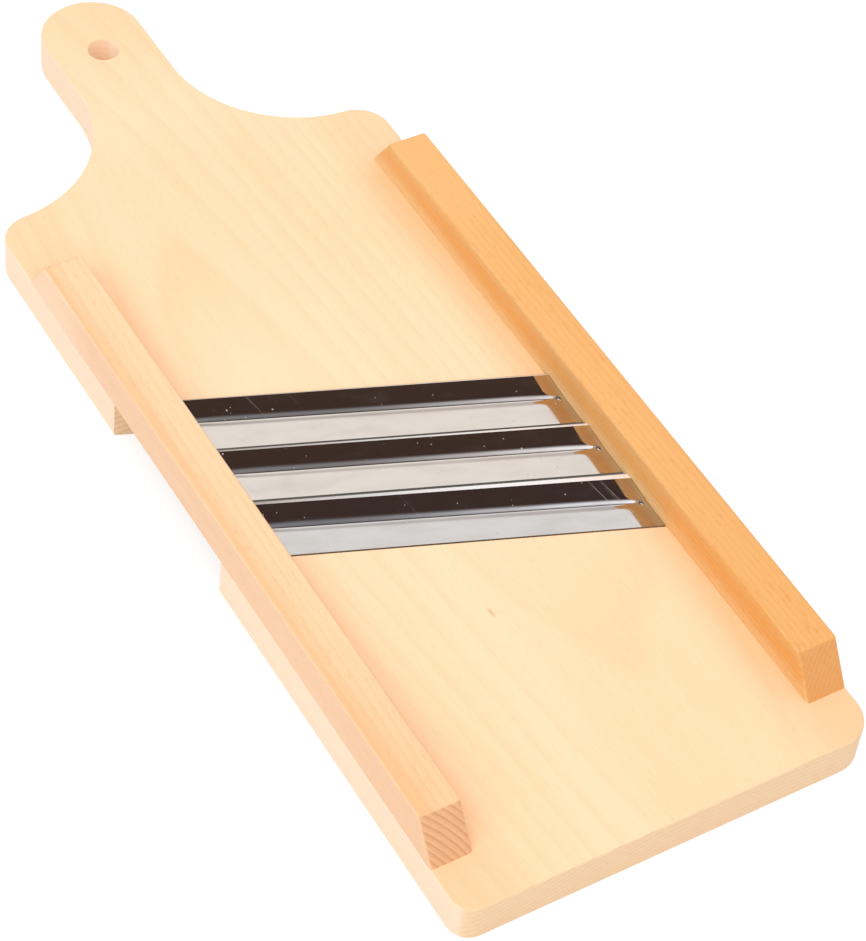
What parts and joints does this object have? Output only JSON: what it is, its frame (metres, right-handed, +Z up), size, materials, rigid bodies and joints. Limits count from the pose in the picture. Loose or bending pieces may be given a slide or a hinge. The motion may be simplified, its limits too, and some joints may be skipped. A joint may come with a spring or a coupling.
{
  "type": "cabbage cutter",
  "caption": "Wooden cabbage cutter: a handled board with side rails that hold slanted steel blades across an opening, for shredding by hand.",
  "frame": {"origin": "under the middle of the whole length and width, on the surface that the boards lie on", "axes": "+Y along the boards towards the handle, +X across to the right rail, +Z up through the cutting side"},
  "size_m": [0.16, 0.438, 0.032],
  "materials": {
    "board_wood": "sanded bare beech",
    "left_rail_wood": "sanded bare beech",
    "right_rail_wood": "sanded bare beech, redder",
    "blade_steel": "polished",
    "screw_zinc": "zinc plated"
  },
  "bodies": {
    "root": {"upper_board": "board_wood", "lower_board": "board_wood", "left_rail": "left_rail_wood", "right_rail": "right_rail_wood", "front_blade": "blade_steel", "middle_blade": "blade_steel", "rear_blade": "blade_steel", "left_rail_screws": "screw_zinc", "right_rail_screws": "screw_zinc"}
  },
  "joints": []
}
